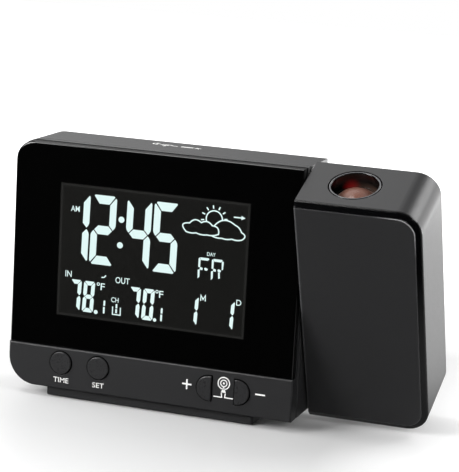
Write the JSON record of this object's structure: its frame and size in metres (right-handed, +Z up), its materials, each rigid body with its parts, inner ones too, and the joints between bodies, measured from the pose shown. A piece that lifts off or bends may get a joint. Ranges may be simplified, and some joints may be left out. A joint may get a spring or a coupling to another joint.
{
  "type": "projection alarm clock",
  "caption": "Table alarm clock with a wide gloss display panel, a key strip below it, and a tilting side arm that projects the time through a lens in its top.",
  "frame": {"origin": "centre of the foot pad's underside, on the table", "axes": "+X to the right seen from the front, towards the projector arm; +Y into the depth, away from the display; +Z up"},
  "size_m": [0.1641, 0.0631, 0.1015],
  "materials": {
    "housing_plastic": "fine spark-eroded texture, charcoal black",
    "panel_acrylic": "polished black acrylic, printed behind",
    "lcd_glass": "polished",
    "diffuser": "milky acrylic",
    "key_plastic": "satin",
    "circuit_board": "green solder mask",
    "switch_plastic": "moulded",
    "chip_resin": "poured black epoxy",
    "shield_tin": "tinned sheet steel",
    "ferrite": "sintered, its coil lacquered copper",
    "screw_steel": "zinc plated",
    "cell_jacket": "plain shrink sleeve",
    "contact_metal": "nickel plated",
    "copper_foil": "bare copper foil",
    "sounder_plastic": "moulded",
    "pad_rubber": "matt",
    "bush_plastic": "natural acetal",
    "shaft_plastic": "moulded",
    "spring_steel": "spring steel",
    "bezel_plastic": "polished",
    "optics_plastic": "light-absorbing matt",
    "lens_glass": "polished acrylic",
    "led_board": "white solder mask",
    "sink_aluminium": "extruded"
  },
  "bodies": {
    "case": {"front_frame": "housing_plastic", "display_panel": "panel_acrylic", "lcd_module": "lcd_glass", "backlight": "diffuser", "main_board": "circuit_board", "key_switches": "switch_plastic", "control_chip": "chip_resin", "radio_receiver": "shield_tin", "time_antenna": "ferrite", "antenna_clips": "bush_plastic", "rear_housing": "housing_plastic", "case_screws": "screw_steel", "battery_cells": "cell_jacket", "battery_contacts": "contact_metal", "sounder": "sounder_plastic", "supply_socket": "sounder_plastic", "touch_pad": "copper_foil", "foot": "housing_plastic", "foot_pad": "pad_rubber", "foot_screws": "screw_steel", "pivot_bush": "bush_plastic"},
    "projector": {"arm_shell": "housing_plastic", "arm_cover": "housing_plastic", "arm_screws": "screw_steel", "pivot_shaft": "shaft_plastic", "friction_washer": "spring_steel", "retaining_ring": "spring_steel", "lens_bezel": "bezel_plastic", "optics_housing": "optics_plastic", "projection_slide": "lcd_glass", "condenser_lens": "lens_glass", "led_module": "led_board", "heat_sink": "sink_aluminium", "drive_board": "circuit_board"},
    "lens_group": {"lens_barrel": "optics_plastic", "projection_lens": "lens_glass"},
    "focus_knob": {"focus_knob": "key_plastic"},
    "flip_button": {"flip_button": "key_plastic"},
    "time_button": {"time_button": "key_plastic"},
    "set_button": {"set_button": "key_plastic"},
    "plus_button": {"plus_button": "key_plastic"},
    "minus_button": {"minus_button": "key_plastic"},
    "battery_lid": {"battery_lid": "housing_plastic"}
  },
  "joints": [
    {"name": "projector_tilt", "type": "hinge", "parent": "case", "child": "projector", "pos_m": [0.0581, 0.0023, 0.0554], "axis": [1, 0, 0], "range_deg": [-112.3, 67.7]},
    {"name": "focus_turn", "type": "hinge", "parent": "projector", "child": "focus_knob", "pos_m": [0.0775, 0.00243, 0.08855], "axis": [0, 0.9252, 0.3795], "range_deg": [-60, 60]},
    {"name": "lens_focus", "type": "slide", "parent": "projector", "child": "lens_group", "axis": [0, -0.3795, 0.9252], "range_m": [-0.0012, 0.0012]},
    {"name": "flip_press", "type": "slide", "parent": "projector", "child": "flip_button", "axis": [0, -0.9252, -0.3795], "range_m": [0, 0.0007], "stiffness_N_per_m": 300},
    {"name": "time_press", "type": "slide", "parent": "case", "child": "time_button", "axis": [0, 1, 0], "range_m": [0, 0.0007], "stiffness_N_per_m": 300},
    {"name": "set_press", "type": "slide", "parent": "case", "child": "set_button", "axis": [0, 1, 0], "range_m": [0, 0.0007], "stiffness_N_per_m": 300},
    {"name": "plus_press", "type": "slide", "parent": "case", "child": "plus_button", "axis": [0, 1, 0], "range_m": [0, 0.0007], "stiffness_N_per_m": 300},
    {"name": "minus_press", "type": "slide", "parent": "case", "child": "minus_button", "axis": [0, 1, 0], "range_m": [0, 0.0007], "stiffness_N_per_m": 300},
    {"name": "lid_pull", "type": "slide", "parent": "case", "child": "battery_lid", "axis": [0, 1, 0], "range_m": [0, 0.012]}
  ],
  "couplings": [
    {"joint": "focus_turn", "follows": "lens_focus", "rad_per_m": -872.6}
  ]
}
